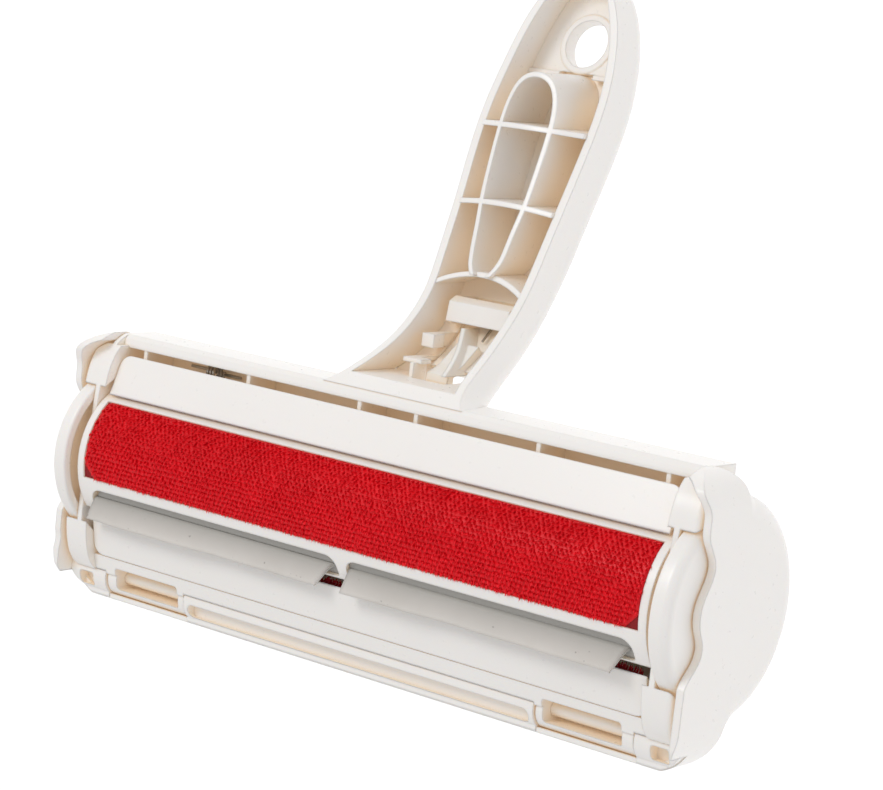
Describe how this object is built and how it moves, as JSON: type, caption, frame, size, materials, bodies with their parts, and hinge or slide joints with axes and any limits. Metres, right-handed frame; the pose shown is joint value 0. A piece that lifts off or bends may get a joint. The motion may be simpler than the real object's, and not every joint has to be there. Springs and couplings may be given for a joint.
{
  "type": "lint roller",
  "caption": "Two-way hand lint roller: a velvet pad drum rocks between two lips on a wide head, with a hinged dust-chamber lid behind it and a hollow ribbed handle with a hang hole.",
  "frame": {"origin": "middle of the hang hole near the handle's tip, on the hole's axis", "axes": "+X along the roller, +Y towards the handle's tip, +Z out of the working face; the roller's axis is at Y -111.6 mm, Z +56 mm, and the dust-chamber dome is on its -Z side"},
  "size_m": [0.1888, 0.1675, 0.0829],
  "materials": {
    "body_white": "satin ABS",
    "button_white": "satin ABS",
    "velvet_red": "one-way cut pile",
    "pad_backing": "woven",
    "wiper_pile": "short pile",
    "blade_grey": "matt",
    "steel": "bright drawn wire",
    "grip_soft": "matt"
  },
  "bodies": {
    "frame": {"handle_frame": "body_white", "upper_lip_plate": "body_white", "lower_lip_plate": "body_white", "upper_wiper_pile": "wiper_pile", "lower_wiper_pile": "wiper_pile", "button_pin": "steel", "lid_kick_spring": "steel"},
    "roller": {"roller_drum": "body_white", "velvet_backing": "pad_backing", "velvet_pad": "velvet_red", "blade_lower_left": "blade_grey", "blade_lower_right": "blade_grey", "blade_upper_left": "blade_grey", "blade_upper_right": "blade_grey", "end_disc_left": "body_white", "end_disc_right": "body_white"},
    "lid": {"lid_shell": "body_white", "hinge_rod_left": "body_white", "hinge_rod_right": "body_white"},
    "release": {"release_button": "button_white", "button_grip_pad": "grip_soft", "button_spring": "steel"}
  },
  "joints": [
    {"name": "roller_turn", "type": "hinge", "parent": "frame", "child": "roller", "pos_m": [0, -0.11337, 0.05743], "axis": [1, 0, 0], "range_deg": [0, 30]},
    {"name": "lid_open", "type": "hinge", "parent": "frame", "child": "lid", "pos_m": [0, -0.14307, 0.06283], "axis": [-1, 0, 0], "range_deg": [0, 65]},
    {"name": "button_press", "type": "hinge", "parent": "frame", "child": "release", "pos_m": [0, -0.06537, 0.02943], "axis": [-1, 0, 0], "range_deg": [0, 6], "stiffness_Nm_per_rad": 0.05}
  ]
}
